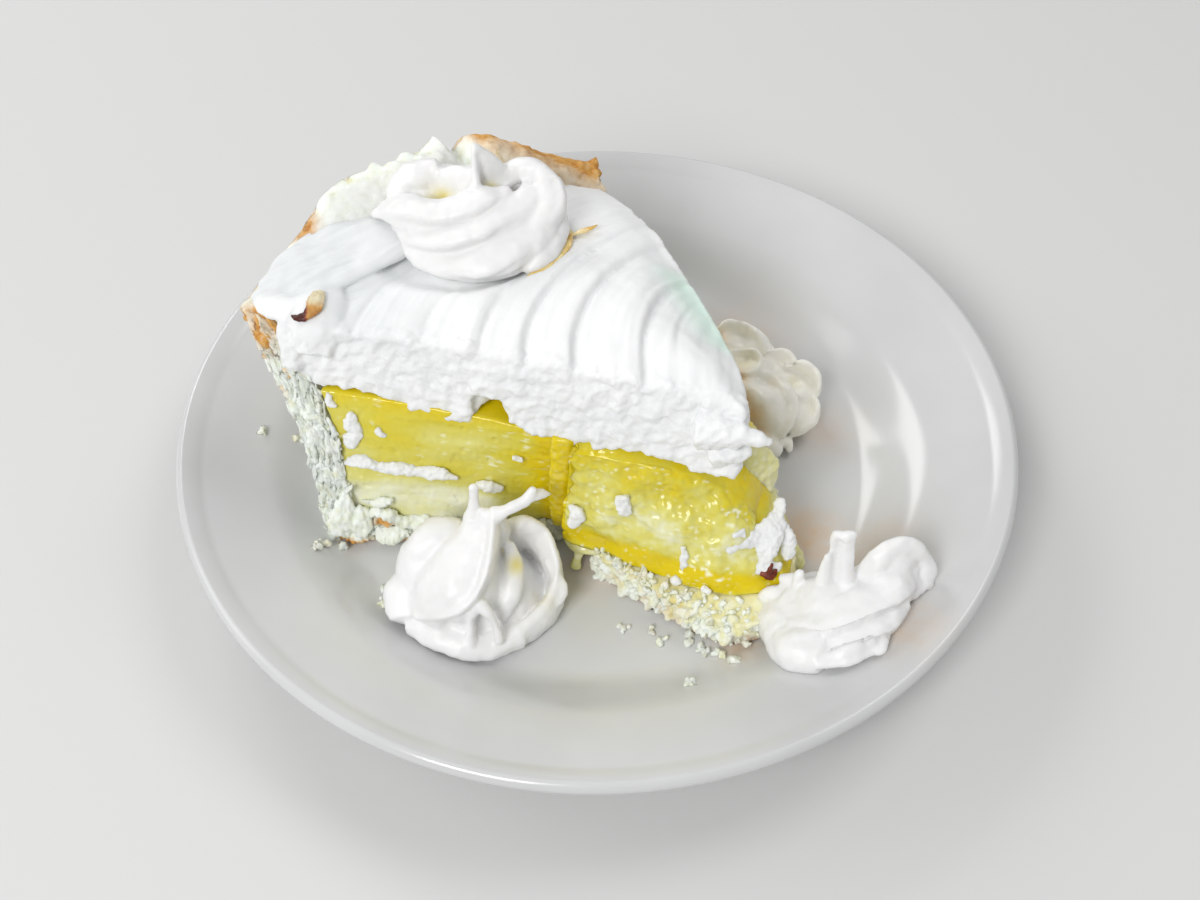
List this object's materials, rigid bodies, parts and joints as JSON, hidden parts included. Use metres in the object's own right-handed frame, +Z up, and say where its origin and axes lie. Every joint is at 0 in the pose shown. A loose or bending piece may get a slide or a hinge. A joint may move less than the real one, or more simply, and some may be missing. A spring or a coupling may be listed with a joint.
{
  "type": "lemon meringue pie",
  "caption": "Cut slice of lemon meringue pie with a broken tip and piped cream whirls, served on a round rimmed ceramic plate.",
  "frame": {"origin": "middle of the plate's foot, on the surface that the plate stands on", "axes": "+Z up, +X towards the tip of the slice, -Y out of the slice's long front cut"},
  "size_m": [0.184, 0.184, 0.081],
  "materials": {
    "plate_glaze": "gloss",
    "pie_crust": "matte",
    "lemon_curd": "satin",
    "meringue_foam": "matte",
    "piped_cream": "satin"
  },
  "bodies": {
    "root": {"plate": "plate_glaze", "crust": "pie_crust", "lemon_filling": "lemon_curd", "meringue": "meringue_foam", "tip_crust": "pie_crust", "tip_filling": "lemon_curd", "whirl_top": "piped_cream", "whirl_front": "piped_cream", "whirl_back": "piped_cream", "whirl_tip": "piped_cream"}
  },
  "joints": []
}
